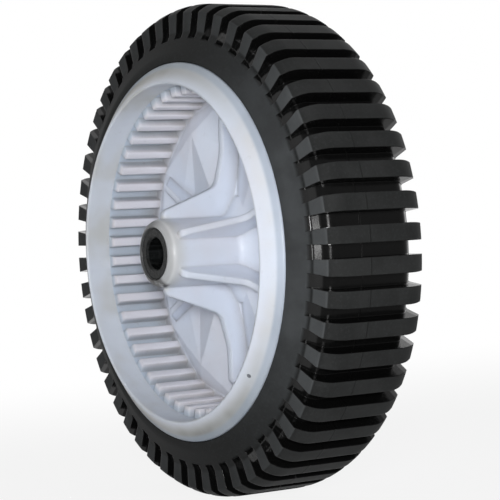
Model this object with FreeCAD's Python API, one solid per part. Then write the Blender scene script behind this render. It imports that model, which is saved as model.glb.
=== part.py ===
import FreeCAD, Part
import math
import os
from FreeCAD import Vector

# Drive wheel of a walk-behind mower: a white moulded rim with a ring gear inside it, a ribbed
# rubber tyre, and two plain bushings in the hub. Millimetres.
# The wheel turns about Y, the ring gear faces -Y and +Z is up. The origin is on the axle line,
# in the mid-plane of the tyre. "Reach" is the distance from that plane towards the gear side.

# Tyre
tyre_radius = 101.6
tread_flat_half_width = 17.5
tread_crown_round = 13.0
tread_edge_radius = 98.2
tread_edge_half_width = 22.2
tread_edge_round = 1.2
shoulder_radius = 90.0
shoulder_half_width = 22.8
shoulder_round = 3.0
sidewall_radius = 80.8
sidewall_half_width = 27.1
sidewall_round = 6.0
bead_corner_round = 0.5
tyre_seat_gap = 0.1

# Grooves across the tread, with their drop below the bars and their inset from the bars' ends
bar_count = 52
groove_width = 5.4
groove_depth = 5.9
groove_floor_round = 6.0
groove_edge_drop = 6.2
groove_edge_inset = 2.1
groove_edge_round = 1.2
groove_shoulder_drop = 1.6
groove_shoulder_inset = 1.2
groove_shoulder_round = 1.5
groove_end_rise = 5.2
groove_overrun = 10.0

# Rim: barrel and flanges
barrel_radius = 72.4
barrel_wall = 3.4
barrel_half_length = 24.0
flange_radius = 77.7
flange_edge_reach = 27.4
flange_edge_thickness = 1.6
flange_edge_round = 0.6
flange_brow_radius = 74.6
flange_brow_reach = 29.8
flange_brow_round = 2.0
flange_crest_reach = 33.9
flange_crest_round = 0.6
barrel_corner_round = 0.8

# Ring gear
tooth_count = 50
tooth_height = 4.2
tooth_front_reach = 22.0
tooth_tip_width = 3.4
tooth_root_width = 5.6
tooth_tip_round = 0.6
tooth_root_overlap = 1.5

# Web: six folds, with a ridge between each pair of fins and a pocket on both sides of each fin
fold_count = 6
web_wall = 3.2
ridge_reach = 2.0
valley_flat_to_flat = 99.0
valley_reach = -1.5
pocket_radius = 41.0
pocket_reach = -3.2
valley_hub_reach = 5.0
ledge_reach = -0.5
ledge_width = 7.7
ledge_lap = 4.5
web_hub_lap = 5.0

# Fins
fin_thickness = 3.0
fin_nose_reach = 34.6
fin_nose_radius = 17.2
fin_nose_round = 3.2
fin_knee_reach = 8.6
fin_knee_radius = 26.6
fin_knee_round = 7.0
fin_top_reach = 5.0
fin_top_start_radius = 41.0
fin_top_start_round = 20.0
fin_top_end_radius = 54.5
fin_top_end_round = 2.0

# Hub
hub_radius = 14.0
hub_gear_end_reach = 39.3
hub_plain_end_reach = -30.0
hub_lip_round = 3.5
hub_mouth_round = 0.4
hub_plain_end_round = 1.5
hub_flare_radius = 22.5
hub_flare_rise = 5.5
hub_flare_round = 4.0

# Bushings
axle_diameter = 12.7
axle_clearance = 0.2
bushing_radius = 10.4
bushing_length = 18.0
bushing_recess = 0.4
bushing_fit_gap = 0.02
bushing_mouth_chamfer = 0.8

# Sizes that follow from the ones above
gear_root_radius = barrel_radius - barrel_wall
gear_tip_radius = gear_root_radius - tooth_height
ledge_radius = gear_root_radius - ledge_width
fold_angle = 360.0 / fold_count
valley_radius = valley_flat_to_flat / 2
ridge_radius = valley_radius / math.cos(math.radians(fold_angle / 2))
web_core_radius = hub_radius - web_hub_lap
flange_back_reach = flange_edge_reach - flange_edge_thickness
bore_radius = (axle_diameter + axle_clearance) / 2
WHEEL_AXIS = Vector(0, 1, 0)
CENTRE = Vector(0, 0, 0)


def at(radius, reach, angle=0.0):
    """Point at a radius and a reach, turned from +X towards +Z by an angle in degrees."""
    turn = math.radians(angle)
    return Vector(radius * math.cos(turn), -reach, radius * math.sin(turn))


def turned(shape, angle):
    """Copy of a shape, turned about the wheel's axis from +X towards +Z."""
    copy = shape.copy()
    copy.rotate(CENTRE, WHEEL_AXIS, -angle)
    return copy


def ring_of(shape, count, first_angle):
    """Copies of a shape, evenly spaced round the wheel."""
    return [turned(shape, first_angle + 360.0 * i / count) for i in range(count)]


def rounded_face(corners):
    """Flat face through (point, rounding) corners; a rounding of 0 leaves a corner sharp."""
    bends = []
    for i, (here, rounding) in enumerate(corners):
        back = (corners[i - 1][0] - here).normalize()
        ahead = (corners[(i + 1) % len(corners)][0] - here).normalize()
        half_angle = back.getAngle(ahead) / 2
        setback = rounding / math.tan(half_angle)
        inset = rounding / math.sin(half_angle) - rounding
        middle = here + (back + ahead).normalize() * inset
        bends.append((here + back * setback, middle, here + ahead * setback, rounding))
    edges = []
    for i, (enter, middle, leave, rounding) in enumerate(bends):
        edges.append(Part.makeLine(bends[i - 1][2], enter))
        if rounding > 0:
            edges.append(Part.Arc(enter, middle, leave).toShape())
    return Part.Face(Part.Wire(edges))


def turned_section(corners):
    """Solid of revolution from (radius, reach, rounding) corners."""
    face = rounded_face([(at(radius, reach), rounding) for radius, reach, rounding in corners])
    return face.revolve(CENTRE, WHEEL_AXIS, 360)


def mirrored(corners):
    """Section corners of the gear side, followed by the same corners on the plain side."""
    return corners + [(radius, -reach, rounding) for radius, reach, rounding in reversed(corners)]


def tyre_body():
    """Tyre with a plain tread and shoulders, seated between the rim's flanges."""
    return turned_section(mirrored([
        (barrel_radius + tyre_seat_gap, barrel_half_length - tyre_seat_gap, bead_corner_round),
        (flange_radius + tyre_seat_gap, flange_back_reach - tyre_seat_gap, bead_corner_round),
        (flange_radius + tyre_seat_gap, sidewall_half_width, bead_corner_round),
        (sidewall_radius, sidewall_half_width, sidewall_round),
        (shoulder_radius, shoulder_half_width, shoulder_round),
        (tread_edge_radius, tread_edge_half_width, tread_edge_round),
        (tyre_radius, tread_flat_half_width, tread_crown_round),
    ]))


def tread_groove():
    """Cutter for one groove across the tread, which runs out on both shoulders."""
    floor_radius = tyre_radius - groove_depth
    edge_radius = tread_edge_radius - groove_edge_drop
    edge_reach = tread_edge_half_width - groove_edge_inset
    end_radius = shoulder_radius - groove_shoulder_drop
    end_reach = shoulder_half_width - groove_shoulder_inset
    mouth_radius = sidewall_radius + groove_end_rise
    rise = (end_reach - sidewall_half_width) / (end_radius - mouth_radius)
    clear_reach = sidewall_half_width + groove_overrun
    clear_radius = tyre_radius + groove_overrun
    outline = mirrored([
        (floor_radius, tread_flat_half_width, groove_floor_round),
        (edge_radius, edge_reach, groove_edge_round),
        (end_radius, end_reach, groove_shoulder_round),
        (mouth_radius + groove_overrun / rise, clear_reach, 0),
        (clear_radius, clear_reach, 0),
    ])
    face = rounded_face([(at(radius, reach), rounding) for radius, reach, rounding in outline])
    face.translate(Vector(0, 0, -groove_width / 2))
    return face.extrude(Vector(0, 0, groove_width))


def tyre():
    """Rubber tyre with straight bars across the tread and a groove between each pair."""
    grooves = Part.makeCompound(ring_of(tread_groove(), bar_count, 0.0))
    return tyre_body().cut(grooves)


def barrel_and_flanges():
    """Rim barrel with a flange at each end and the ledge that carries the web."""
    flange = [
        (flange_radius, flange_back_reach, flange_edge_round),
        (flange_radius, flange_edge_reach, flange_edge_round),
        (flange_brow_radius, flange_brow_reach, flange_brow_round),
        (gear_root_radius, flange_crest_reach, flange_crest_round),
    ]
    far_flange = [(radius, -reach, rounding) for radius, reach, rounding in reversed(flange)]
    return turned_section(
        [(barrel_radius, barrel_half_length, barrel_corner_round)]
        + flange
        + [
            (gear_root_radius, ledge_reach, 0),
            (ledge_radius, ledge_reach, 0),
            (ledge_radius, ledge_reach - web_wall, 0),
            (gear_root_radius, ledge_reach - web_wall, 0),
        ]
        + far_flange
        + [(barrel_radius, -barrel_half_length, barrel_corner_round)]
    )


def gear_tooth():
    """One straight tooth of the ring gear, rooted in the barrel and standing on the ledge."""
    root_radius = gear_root_radius + tooth_root_overlap
    foot_reach = ledge_reach - web_wall / 2
    section = rounded_face([
        (Vector(root_radius, -foot_reach, -tooth_root_width / 2), 0),
        (Vector(root_radius, -foot_reach, tooth_root_width / 2), 0),
        (Vector(gear_tip_radius, -foot_reach, tooth_tip_width / 2), tooth_tip_round),
        (Vector(gear_tip_radius, -foot_reach, -tooth_tip_width / 2), tooth_tip_round),
    ])
    return section.extrude(Vector(0, foot_reach - tooth_front_reach, 0))


def web_facet(*corners):
    """Flat piece of the web under three corners of its gear side."""
    face = Part.Face(Part.makePolygon(list(corners) + [corners[0]]))
    return face.extrude(Vector(0, web_wall, 0))


def half_fold(ridge_angle, valley_angle):
    """The web from a ridge down to the valley on one side, and out to the ledge."""
    rim_radius = ledge_radius + ledge_lap
    ridge_core = at(web_core_radius, ridge_reach, ridge_angle)
    ridge_end = at(ridge_radius, ridge_reach, ridge_angle)
    ridge_rim = at(rim_radius, ledge_reach, ridge_angle)
    valley_core = at(web_core_radius, valley_hub_reach, valley_angle)
    pocket = at(pocket_radius, pocket_reach, valley_angle)
    valley_end = at(valley_radius, valley_reach, valley_angle)
    valley_rim = at(rim_radius, ledge_reach, valley_angle)
    return [
        web_facet(ridge_core, ridge_end, pocket),
        web_facet(ridge_core, pocket, valley_core),
        web_facet(ridge_end, valley_end, pocket),
        web_facet(ridge_end, ridge_rim, valley_rim),
        web_facet(ridge_end, valley_rim, valley_end),
    ]


def web():
    """Folded web between the hub and the ledge."""
    facets = []
    for i in range(fold_count):
        ridge_angle = fold_angle * i
        facets += half_fold(ridge_angle, ridge_angle - fold_angle / 2)
        facets += half_fold(ridge_angle, ridge_angle + fold_angle / 2)
    return facets[0].multiFuse(facets[1:])


def fin():
    """Thin gusset from the hub to the ledge, rooted in a valley of the web."""
    root_drop = web_wall / 2
    plate = rounded_face([
        (at(bushing_radius, fin_nose_reach), 0),
        (at(fin_nose_radius, fin_nose_reach), fin_nose_round),
        (at(fin_knee_radius, fin_knee_reach), fin_knee_round),
        (at(fin_top_start_radius, fin_top_reach), fin_top_start_round),
        (at(fin_top_end_radius, fin_top_reach), fin_top_end_round),
        (at(ledge_radius, ledge_reach), 0),
        (at(ledge_radius, ledge_reach - root_drop), 0),
        (at(valley_radius, valley_reach - root_drop), 0),
        (at(pocket_radius, pocket_reach - root_drop), 0),
        (at(bushing_radius, valley_hub_reach - root_drop), 0),
    ])
    plate.translate(Vector(0, 0, -fin_thickness / 2))
    return plate.extrude(Vector(0, 0, fin_thickness))


def hub():
    """Hub tube with a rounded lip at the gear end and a flared root on both sides of the web."""
    root_reach = ridge_reach - web_wall / 2
    return turned_section([
        (bushing_radius, hub_gear_end_reach, hub_mouth_round),
        (hub_radius, hub_gear_end_reach, hub_lip_round),
        (hub_radius, root_reach + hub_flare_rise, hub_flare_round),
        (hub_flare_radius, root_reach, 0),
        (hub_radius, root_reach - hub_flare_rise, hub_flare_round),
        (hub_radius, hub_plain_end_reach, hub_plain_end_round),
        (bushing_radius, hub_plain_end_reach, hub_mouth_round),
    ])


def wheel_rim():
    """Rim, ring gear, web, fins and hub, moulded in one piece."""
    pieces = [web(), hub()]
    pieces += ring_of(gear_tooth(), tooth_count, 180.0 / tooth_count)
    pieces += ring_of(fin(), fold_count, fold_angle / 2)
    rim = barrel_and_flanges().multiFuse(pieces)
    bore_length = hub_gear_end_reach - hub_plain_end_reach
    bore = Part.makeCylinder(bushing_radius, bore_length, at(0, hub_gear_end_reach), WHEEL_AXIS)
    return rim.cut(bore).removeSplitter()


def bushing_sleeve():
    """Plain sleeve from reach 0 back to minus its length, with a chamfered mouth."""
    outer = bushing_radius - bushing_fit_gap
    mouth = bore_radius + bushing_mouth_chamfer
    return turned_section([
        (mouth, 0, 0),
        (outer, 0, bushing_mouth_chamfer / 2),
        (outer, -bushing_length, 0),
        (bore_radius, -bushing_length, 0),
        (bore_radius, -bushing_mouth_chamfer, 0),
    ])


def gear_side_bushing():
    """Bushing in the long end of the hub."""
    sleeve = bushing_sleeve()
    sleeve.translate(at(0, hub_gear_end_reach - bushing_recess))
    return sleeve


def plain_side_bushing():
    """Bushing in the short end of the hub, turned end for end."""
    sleeve = bushing_sleeve()
    sleeve.rotate(CENTRE, Vector(1, 0, 0), 180)
    sleeve.translate(at(0, hub_plain_end_reach + bushing_recess))
    return sleeve


NODES = {
    "wheel_rim": wheel_rim,
    "tyre": tyre,
    "gear_side_bushing": gear_side_bushing,
    "plain_side_bushing": plain_side_bushing,
}

os.makedirs("parts", exist_ok=True)
for name, make in NODES.items():
    solid = make()
    solid.exportStep("parts/" + name + ".step")
    box = solid.BoundBox
    print(name, solid.isValid(), len(solid.Solids), round(solid.Volume), round(box.XLength, 2),
          round(box.YLength, 2), round(box.ZLength, 2))
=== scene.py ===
import math

import bpy
from mathutils import Matrix, Vector


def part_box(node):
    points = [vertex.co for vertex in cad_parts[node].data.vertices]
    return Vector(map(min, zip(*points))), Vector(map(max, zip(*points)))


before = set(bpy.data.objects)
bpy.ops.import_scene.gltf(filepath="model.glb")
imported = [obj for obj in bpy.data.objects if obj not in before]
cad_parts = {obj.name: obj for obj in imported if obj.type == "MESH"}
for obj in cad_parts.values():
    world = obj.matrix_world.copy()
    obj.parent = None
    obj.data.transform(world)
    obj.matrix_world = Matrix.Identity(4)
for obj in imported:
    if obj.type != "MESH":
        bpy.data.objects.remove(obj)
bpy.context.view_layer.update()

# Mower wheel with its gear side towards -Y. Metres. Reach is the distance from the tyre's
# mid-plane towards the gear side. Radius is measured from the axle line, which is Y, and angle
# is measured about that line, from +X towards +Z.

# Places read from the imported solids
tyre_low, tyre_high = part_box("tyre")
rim_low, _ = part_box("wheel_rim")
tyre_radius = tyre_high.z
hub_end_reach = -rim_low.y

# Places on the rim and the tyre, as the solids are built
flange_brow_radius = 0.0746
gear_root_radius = 0.0690
tooth_tip_radius = 0.0648
tooth_front_reach = 0.0220
hub_radius = 0.0140
bar_count = 52
groove_half_width = 0.0027
groove_end_radius = 0.0873
shoulder_radius = 0.0900
bar_end_reach = 0.0225

# Camera, placed and turned as the photograph was taken
camera_place = Vector((0.68994, -0.43578, 0.02101))
camera_right = Vector((0.540775, 0.840163, -0.041077))
camera_up = Vector((0.0, 0.048834, 0.998807))
camera_lens = 140.693
camera_sensor = 36.0

# Lamps: the key stands beside the camera, the glint lamp in front of the gear side
key_side_step = -0.03
key_up_step = 0.05
key_size = 0.16
key_power = 4.6
glint_place = Vector((-0.10, -0.90, 0.018))
glint_size = 0.08
glint_power = 0.6
top_place = Vector((0.0, 0.0, 1.1))
top_size = 1.2
top_power = 0.8
back_place = Vector((-0.30, 1.00, 0.40))
back_size = 0.8
back_power = 3.0

# White room and floor, whose glow grows to full at a distance from the wheel
white = (1.0, 1.0, 1.0)
fill_strength = 0.05
floor_white = (0.92, 0.92, 0.92)
floor_half_size = 4.0
floor_glow = 0.86
floor_glow_start = 0.12
floor_glow_end = 0.55


class Value:
    """A shader socket that Python's operators work on, each adding its Math node."""

    def __init__(self, finish, socket):
        self.finish = finish
        self.socket = socket

    def math(self, operation, *others):
        sockets = dict(enumerate((self,) + others))
        return self.finish.node("ShaderNodeMath", {"operation": operation}, sockets)

    def __add__(self, other):
        return self.math("ADD", other)

    def __sub__(self, other):
        return self.math("SUBTRACT", other)

    def __rsub__(self, other):
        return self.finish.node("ShaderNodeMath", {"operation": "SUBTRACT"}, {0: other, 1: self})

    def __mul__(self, other):
        return self.math("MULTIPLY", other)

    def __pow__(self, other):
        return self.math("POWER", other)

    def __abs__(self):
        return self.math("ABSOLUTE")

    __radd__ = __add__
    __rmul__ = __mul__


class Finish:
    """A material whose nodes are added one by one, with the wheel's own coordinates at hand."""

    def __init__(self, tree):
        self.tree = tree
        self.place = self.node("ShaderNodeTexCoord", output="Object")

    def node(self, kind, settings=None, sockets=None, output=0):
        """Adds a node: first its settings, then the values or links of its sockets."""
        made = self.tree.nodes.new(kind)
        for name, setting in (settings or {}).items():
            setattr(made, name, setting)
        for name, value in (sockets or {}).items():
            self.feed(made.inputs[name], value)
        return Value(self, made.outputs[output])

    def feed(self, socket, value):
        """Links a value to a socket, or writes a plain number or colour on it."""
        if isinstance(value, Value):
            self.tree.links.new(value.socket, socket)
        elif hasattr(value, "__len__") and socket.type == "RGBA":
            socket.default_value = (*value, 1.0)
        else:
            socket.default_value = value

    def wheel_coordinates(self):
        """Radius, reach and angle about the axle of the point that is shaded."""
        x = self.node("ShaderNodeSeparateXYZ", None, {0: self.place}, "X")
        y = self.node("ShaderNodeSeparateXYZ", None, {0: self.place}, "Y")
        z = self.node("ShaderNodeSeparateXYZ", None, {0: self.place}, "Z")
        return (x * x + z * z) ** 0.5, 0 - y, z.math("ARCTAN2", x)

    def ramp(self, value, low, high):
        """0 below low, 1 above high, smooth between them."""
        return self.node(
            "ShaderNodeMapRange", {"interpolation_type": "SMOOTHSTEP"}, {0: value, 1: low, 2: high}
        )

    def rise(self, value, start, soft):
        """0 up to a start, 1 past a soft edge after it."""
        return self.ramp(value, start, start + soft)

    def fall(self, value, start, soft):
        """1 up to a start, 0 past a soft edge after it."""
        return 1 - self.rise(value, start, soft)

    def band(self, value, centre, half_width, soft):
        """1 within half_width of a centre, fading to 0 over a soft edge."""
        return self.fall(abs(value - centre), half_width, soft)

    def between(self, mask, low, high):
        """Low where the mask is 0, high where it is 1."""
        return mask * (high - low) + low

    def noise(self, cells, detail=3.0, roughness=0.55, stretch=None):
        """Cloudy pattern from 0 to 1, with a number of cells a metre."""
        where = self.place
        if stretch:
            where = self.node("ShaderNodeVectorMath", {"operation": "MULTIPLY"}, {0: where, 1: stretch})
        return self.node(
            "ShaderNodeTexNoise",
            None,
            {"Vector": where, "Scale": cells, "Detail": detail, "Roughness": roughness},
        )

    def mix(self, mask, colour, other, share=1.0):
        """Colour, turned to a share of the other colour where the mask is 1."""
        return self.node(
            "ShaderNodeMix", {"data_type": "RGBA"}, {0: mask * share, 6: colour, 7: other}, 2
        )

    def nearness(self, point, radius, soft):
        """1 at a point, fading to 0 outside a radius."""
        distance = self.node(
            "ShaderNodeVectorMath", {"operation": "DISTANCE"}, {0: self.place, 1: point}, "Value"
        )
        return self.fall(distance, radius, soft)

    def shelter(self, distance):
        """1 in folds and corners, 0 on open faces."""
        settings = {"samples": 12, "only_local": True}
        return 1 - self.node("ShaderNodeAmbientOcclusion", settings, {"Distance": distance}, "AO")

    def soft_edges(self, radius):
        """Normal that rounds sharp edges by a small radius."""
        return self.node("ShaderNodeBevel", {"samples": 6}, {"Radius": radius})

    def bump(self, height, depth, normal):
        """Normal raised by a height from 0 to 1 over a depth in metres."""
        return self.node(
            "ShaderNodeBump", None, {"Height": height, "Distance": depth, "Normal": normal}
        )


def surface(name):
    """New material, and the finish that builds it."""
    material = bpy.data.materials.new(name)
    material.use_nodes = True
    return material, Finish(material.node_tree)


def set_shader(finish, **sockets):
    """Values or links for the sockets of the surface's own shader."""
    shader = finish.tree.nodes["Principled BSDF"]
    for name, value in sockets.items():
        finish.feed(shader.inputs[name.replace("_", " ")], value)


def aged_and_shaded_flange(f, colour, clouds, radius, angle):
    """Flange with a yellow tint that grows in clouds and away from the right, painted shade that
    darkens it away from the right, where it is brightest, and painted shade on its rounded outer edge.
    """
    yellowed = (0.69, 0.67, 0.57)
    painted_flange_shade = (0.11, 0.118, 0.118)
    painted_shade_and_sheen = (0.28, 0.35, 0.45)
    lit_angle = math.radians(12)
    lit_half_span = math.radians(15)
    flange_shade_half_span = math.radians(85)
    edge_softness = 0.0014

    flange = f.ramp(radius, gear_root_radius, flange_brow_radius)
    # Painted shade mask: 0 around the lit right side, rising to 1 away from it.
    flange_shade_side = f.ramp(abs(angle - lit_angle), lit_half_span, flange_shade_half_span)
    edge = f.rise(radius, flange_brow_radius, edge_softness)
    # Yellow tint in clouds, made stronger away from the right by the painted shade mask.
    colour = f.mix(flange, colour, yellowed, share=clouds * 0.25 + flange_shade_side * 0.45)
    # Painted shade: dark grey on the flange away from the right, in clouds.
    colour = f.mix(flange * flange_shade_side, colour, painted_flange_shade, share=f.between(clouds, 0.55, 0.85))
    # Painted shade on the rounded outer edge of the flange, bluish grey, in clouds.
    return f.mix(edge, colour, painted_shade_and_sheen, share=f.between(clouds, 0.50, 0.70))


def tinted_and_shaded_gear(f, colour, clouds, radius, reach):
    """Pinkish teeth with painted shade, a little blue, in the gaps between them, and a dull wall
    between them and the flange.
    """
    tooth_pink = (0.78, 0.73, 0.75)
    gap_shade_blue = (0.42, 0.52, 0.62)
    wall_grey = (0.50, 0.51, 0.48)
    rim_margin = 0.0002
    rim_softness = 0.0008
    back_start, back_full = -0.0008, 0.0
    front_softness = 0.0004
    tooth_softness = 0.0008
    gap_softness = 0.0006

    inside_rim = f.fall(radius, gear_root_radius + rim_margin, rim_softness)
    past_tips = f.ramp(radius, tooth_tip_radius - tooth_softness, tooth_tip_radius)
    in_front = f.rise(reach, tooth_front_reach, front_softness)
    past_back = f.ramp(reach, back_start, back_full)
    gear = inside_rim * (1 - in_front) * past_tips * past_back
    gap = gear * f.ramp(radius, tooth_tip_radius + tooth_softness, gear_root_radius - gap_softness)
    wall = inside_rim * in_front * f.ramp(radius, tooth_tip_radius, gear_root_radius)
    colour = f.mix(gear - gap, colour, tooth_pink, share=0.55)
    # Painted shade in the gaps between the teeth, a little blue.
    colour = f.mix(gap, colour, gap_shade_blue, share=0.60)
    return f.mix(wall, colour, wall_grey, share=f.between(clouds, 0.25, 0.75))


def soiled_and_shaded_hub_end(f, colour, radius, reach, angle):
    """Hub that yellows towards its end, with a lip darkened by dirt all round and by painted shade away
    from +X, and a dark smear under it.
    """
    yellowed = (0.52, 0.49, 0.40)
    lip_dirt_and_shade = (0.030, 0.031, 0.033)
    under_hub_dark = (0.018, 0.016, 0.015)
    hub_margin = 0.0005
    hub_softness = 0.0020
    yellow_start, yellow_full = 0.0100, 0.0020
    lip_start, lip_full = 0.0022, 0.0010
    smear_start, smear_full = 0.0045, 0.0025
    smear_angle = math.radians(-88)
    smear_half_span = math.radians(16)
    smear_softness = math.radians(14)
    smear_cells = 300.0
    lit_half_span = math.radians(55)
    lip_shade_half_span = math.radians(110)

    hub = f.fall(radius, hub_radius + hub_margin, hub_softness)
    near_end = hub * f.ramp(reach, hub_end_reach - yellow_start, hub_end_reach - yellow_full)
    lip = hub * f.ramp(reach, hub_end_reach - lip_start, hub_end_reach - lip_full)
    # Painted shade mask: rising away from +X.
    lip_shade_side = f.ramp(abs(angle), lit_half_span, lip_shade_half_span)
    smear = hub * f.ramp(reach, hub_end_reach - smear_start, hub_end_reach - smear_full)
    smear = smear * f.band(angle, smear_angle, smear_half_span, smear_softness)
    smear = smear * f.ramp(f.noise(smear_cells), 0.25, 0.5)
    colour = f.mix(near_end, colour, yellowed, share=0.45)
    # Lip darkened by dirt all round and by painted shade away from +X.
    colour = f.mix(lip, colour, lip_dirt_and_shade, share=f.between(lip_shade_side, 0.30, 0.95))
    # Dark smear under the hub end.
    return f.mix(smear, colour, under_hub_dark)


def white_plastic():
    """Satin white moulding, a little blue, with dirt specks, painted shade in its folds and one small
    pit.
    """
    material, f = surface("white_moulded_plastic")
    clean = (0.70, 0.755, 0.86)
    pinkish = (0.66, 0.63, 0.67)
    grime_and_fold_shade = (0.24, 0.225, 0.22)
    pit_grey = (0.10, 0.11, 0.13)
    pit_place = Vector((0.0552, -0.0311, -0.0475))
    pit_radius = 0.0006
    pit_softness = 0.0004
    pit_depth = 0.0004
    cloud_cells, speck_cells, ripple_cells, grain_cells = 28.0, 420.0, 90.0, 1500.0
    ripple_depth = 0.00025
    grain_depth = 0.00002
    fold_distance = 0.009
    edge_round = 0.0016

    radius, reach, angle = f.wheel_coordinates()
    clouds = f.ramp(f.noise(cloud_cells), 0.42, 0.68)
    specks = f.ramp(f.noise(speck_cells, detail=4.0), 0.60, 0.75)
    folds = f.ramp(f.shelter(fold_distance), 0.22, 0.90)
    pit = f.nearness(pit_place, pit_radius, pit_softness)

    colour = f.mix(clouds, clean, pinkish, share=0.35)
    colour = aged_and_shaded_flange(f, colour, clouds, radius, angle)
    colour = tinted_and_shaded_gear(f, colour, clouds, radius, reach)
    # Painted shade: grey-brown darkening in folds and corners, from the occlusion mask.
    colour = f.mix(folds, colour, grime_and_fold_shade, share=f.between(specks, 0.75, 0.95))
    # Dirt specks in the same grey-brown.
    colour = f.mix(specks, colour, grime_and_fold_shade, share=0.08)
    colour = soiled_and_shaded_hub_end(f, colour, radius, reach, angle)
    colour = f.mix(pit, colour, pit_grey, share=0.9)

    normal = f.bump(f.noise(grain_cells, detail=2.0), grain_depth, f.soft_edges(edge_round))
    normal = f.bump(f.noise(ripple_cells, detail=2.0), ripple_depth, normal)
    normal = f.bump(1 - pit, pit_depth, normal)
    roughness = f.between(folds, 0.36, 0.66) + specks * 0.1
    set_shader(f, Base_Color=colour, Roughness=roughness, Normal=normal, Specular_IOR_Level=0.45)
    return material


def tyre_regions(f, radius, reach, angle):
    """Masks of the grooves, their ends, and the tops, ends and sidewall of the bars."""
    half_pitch = math.radians(180 / bar_count)
    groove_softness = 0.0003
    groove_end_softness = 0.0008
    gloss_start, gloss_full = 0.0196, 0.0202
    top_drop = 0.0050
    top_softness = 0.0038
    end_half_depth = 0.0005
    end_softness = 0.0005
    end_start, end_full = 0.0004, 0.0010
    sidewall_softness = 0.0020

    across = angle.math("PINGPONG", half_pitch) * radius
    groove = f.fall(across, groove_half_width, groove_softness)
    groove = groove * f.rise(radius, groove_end_radius, groove_end_softness)
    groove_end = groove * f.ramp(abs(reach), gloss_start, gloss_full)
    bar = 1 - groove
    bar_top = bar * f.rise(radius, tyre_radius - top_drop, top_softness)
    bar_end = bar * f.band(abs(reach), bar_end_reach, end_half_depth, end_softness)
    bar_end = bar_end * f.ramp(radius, shoulder_radius - end_start, shoulder_radius + end_full)
    sidewall = bar * f.fall(radius, shoulder_radius - sidewall_softness, sidewall_softness)
    return groove, groove_end, bar_top, bar_end, sidewall


def black_rubber():
    """Dull black rubber: dusty bars, glossy grooves darkened by painted shade, bar ends and sidewall
    lightened by painted sheen towards +X, and a fine parting line round the tread.
    """
    material, f = surface("black_tyre_rubber")
    fresh = (0.011, 0.0115, 0.0115)
    dusty = (0.028, 0.029, 0.029)
    scuff_and_sheen = (0.056, 0.060, 0.063)
    sheen_and_dust = (0.078, 0.083, 0.086)
    groove_shade_black = (0.003, 0.003, 0.003)
    sheen_angle = math.radians(5)
    sheen_half_span = math.radians(20)
    sheen_softness = math.radians(60)
    parting_reach = 0.0044
    parting_half_width = 0.00018
    parting_softness = 0.00025
    parting_height = 0.00025
    parting_start, parting_full = 0.0940, 0.0950
    cloud_cells, grit_cells, pebble_cells = 60.0, 900.0, 1300.0
    pebble_depth = 0.00006
    edge_round = 0.0006

    radius, reach, angle = f.wheel_coordinates()
    groove, groove_end, bar_top, bar_end, sidewall = tyre_regions(f, radius, reach, angle)
    # Painted sheen mask: strongest towards +X.
    sheen_side = f.band(angle, sheen_angle, sheen_half_span, sheen_softness)
    dust = f.ramp(f.noise(cloud_cells, detail=4.0), 0.35, 0.70)
    grit = f.ramp(f.noise(grit_cells, detail=4.0, roughness=0.65), 0.48, 0.72)
    parting = f.band(reach, parting_reach, parting_half_width, parting_softness)
    parting = parting * f.ramp(radius, parting_start, parting_full)

    colour = f.mix(bar_top, fresh, dusty, share=f.between(dust, 0.55, 1.0))
    # Painted sheen: sidewall lightened towards +X, in dusty clouds.
    colour = f.mix(sidewall * sheen_side, colour, scuff_and_sheen, share=f.between(dust, 0.60, 1.0))
    # Painted sheen on the bar ends, strongest towards +X, with some dust.
    colour = f.mix(bar_end, colour, sheen_and_dust, share=f.between(sheen_side, 0.15, 0.80) + dust * 0.20)
    # Lighter grit specks.
    colour = f.mix(grit, colour, scuff_and_sheen, share=0.25)
    colour = f.mix(parting, colour, fresh, share=0.5)
    # Painted shade: grooves darkened to near black.
    colour = f.mix(groove, colour, groove_shade_black, share=0.9)

    pebbles = f.noise(pebble_cells, detail=4.0, roughness=0.7) * f.between(groove, 1.0, 0.15)
    normal = f.bump(pebbles, pebble_depth, f.soft_edges(edge_round))
    normal = f.bump(parting, parting_height, normal)
    roughness = f.between(groove, 0.62, 0.14) + grit * 0.12
    set_shader(
        f,
        Base_Color=colour,
        Roughness=roughness,
        Normal=normal,
        Specular_IOR_Level=0.07,
        Coat_Weight=groove_end * 0.4,
        Coat_Roughness=0.12,
    )
    return material


def oiled_black_plastic():
    """Black oiled bushing with painted sheen in lighter streaks along the bore."""
    material, f = surface("oiled_black_plastic")
    black = (0.004, 0.0045, 0.0045)
    painted_shade_and_sheen = (0.020, 0.022, 0.023)
    dusty = (0.05, 0.05, 0.05)
    streak_cells, dust_cells = 700.0, 500.0
    along_bore = (1.0, 0.06, 1.0)
    streak_depth = 0.00004
    edge_round = 0.0003

    streaks = f.ramp(f.noise(streak_cells, roughness=0.5, stretch=along_bore), 0.45, 0.65)
    dust = f.ramp(f.noise(dust_cells, detail=4.0), 0.5, 0.7)
    # Painted sheen: lighter streaks along the bore.
    colour = f.mix(streaks, black, painted_shade_and_sheen, share=0.5)
    colour = f.mix(dust, colour, dusty, share=0.08)
    normal = f.bump(streaks, streak_depth, f.soft_edges(edge_round))
    roughness = f.between(dust, 0.22, 0.47)
    set_shader(f, Base_Color=colour, Roughness=roughness, Normal=normal, Specular_IOR_Level=0.12)
    return material


def dress(node, material):
    """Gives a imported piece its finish."""
    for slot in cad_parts[node].material_slots:
        slot.material = material


def seen_ray(finish):
    """1 for rays that show the background: straight, mirrored or through glass."""
    straight = finish.node("ShaderNodeLightPath", output="Is Camera Ray")
    mirrored = finish.node("ShaderNodeLightPath", output="Is Glossy Ray")
    through = finish.node("ShaderNodeLightPath", output="Is Transmission Ray")
    return straight.math("MAXIMUM", mirrored.math("MAXIMUM", through))


def white_room():
    """World that looks white and gives a low even fill."""
    world = bpy.data.worlds.new("white_room")
    bpy.context.scene.world = world
    world.use_nodes = True
    f = Finish(world.node_tree)
    background = world.node_tree.nodes["Background"]
    f.feed(background.inputs["Color"], white)
    f.feed(background.inputs["Strength"], f.between(seen_ray(f), fill_strength, 1.0))


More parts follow.
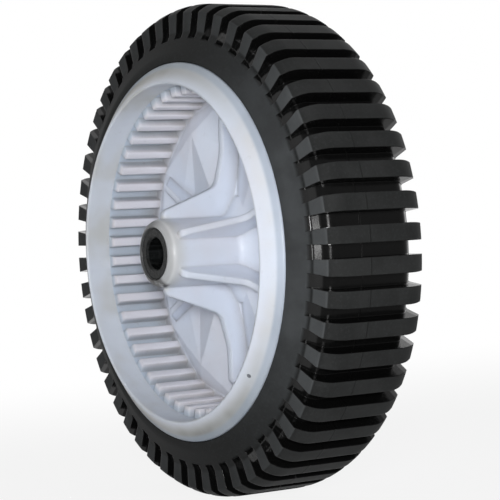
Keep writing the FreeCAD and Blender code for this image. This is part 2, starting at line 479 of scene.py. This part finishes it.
def pale_floor():
    """Plain white floor under the tyre, which keeps the wheel's soft shadow."""
    bpy.ops.object.select_all(action="DESELECT")
    bpy.ops.mesh.primitive_plane_add(size=2 * floor_half_size, location=(0, 0, tyre_low.z))
    floor = bpy.context.object
    floor.name = "floor"
    material, f = surface("white_floor")
    diffuse = f.node("ShaderNodeBsdfDiffuse", None, {"Color": floor_white})
    glow = f.node("ShaderNodeEmission", None, {"Color": white, "Strength": 1.0})
    from_wheel, _, _ = f.wheel_coordinates()
    distant = f.ramp(from_wheel, floor_glow_start, floor_glow_end)
    share = seen_ray(f) * f.between(distant, floor_glow, 1.0)
    both = f.node("ShaderNodeMixShader", None, {0: share, 1: diffuse, 2: glow})
    f.feed(f.tree.nodes["Material Output"].inputs["Surface"], both)
    floor.data.materials.append(material)


def soft_lamp(name, place, size, power):
    """Square lamp that faces the wheel."""
    lamp = bpy.data.lights.new(name, "AREA")
    lamp.size = size
    lamp.energy = power
    holder = bpy.data.objects.new(name, lamp)
    bpy.context.scene.collection.objects.link(holder)
    holder.location = place
    holder.rotation_euler = (-place).to_track_quat("-Z", "Y").to_euler()


def photo_camera():
    """Camera at the photograph's place, turned and zoomed as it was."""
    camera = bpy.data.cameras.new("photo_camera")
    camera.sensor_width = camera_sensor
    camera.lens = camera_lens
    holder = bpy.data.objects.new("photo_camera", camera)
    bpy.context.scene.collection.objects.link(holder)
    camera_back = camera_right.cross(camera_up)
    turn = Matrix((camera_right, camera_up, camera_back)).transposed().to_4x4()
    holder.matrix_world = Matrix.Translation(camera_place) @ turn
    bpy.context.scene.camera = holder


dress("wheel_rim", white_plastic())
dress("tyre", black_rubber())
bushing_finish = oiled_black_plastic()
dress("gear_side_bushing", bushing_finish)
dress("plain_side_bushing", bushing_finish)

white_room()
pale_floor()
key_place = camera_place + camera_right * key_side_step + camera_up * key_up_step
soft_lamp("key_lamp", key_place, key_size, key_power)
soft_lamp("glint_lamp", glint_place, glint_size, glint_power)
soft_lamp("top_lamp", top_place, top_size, top_power)
soft_lamp("back_lamp", back_place, back_size, back_power)
photo_camera()
bpy.context.scene.view_settings.view_transform = "Standard"
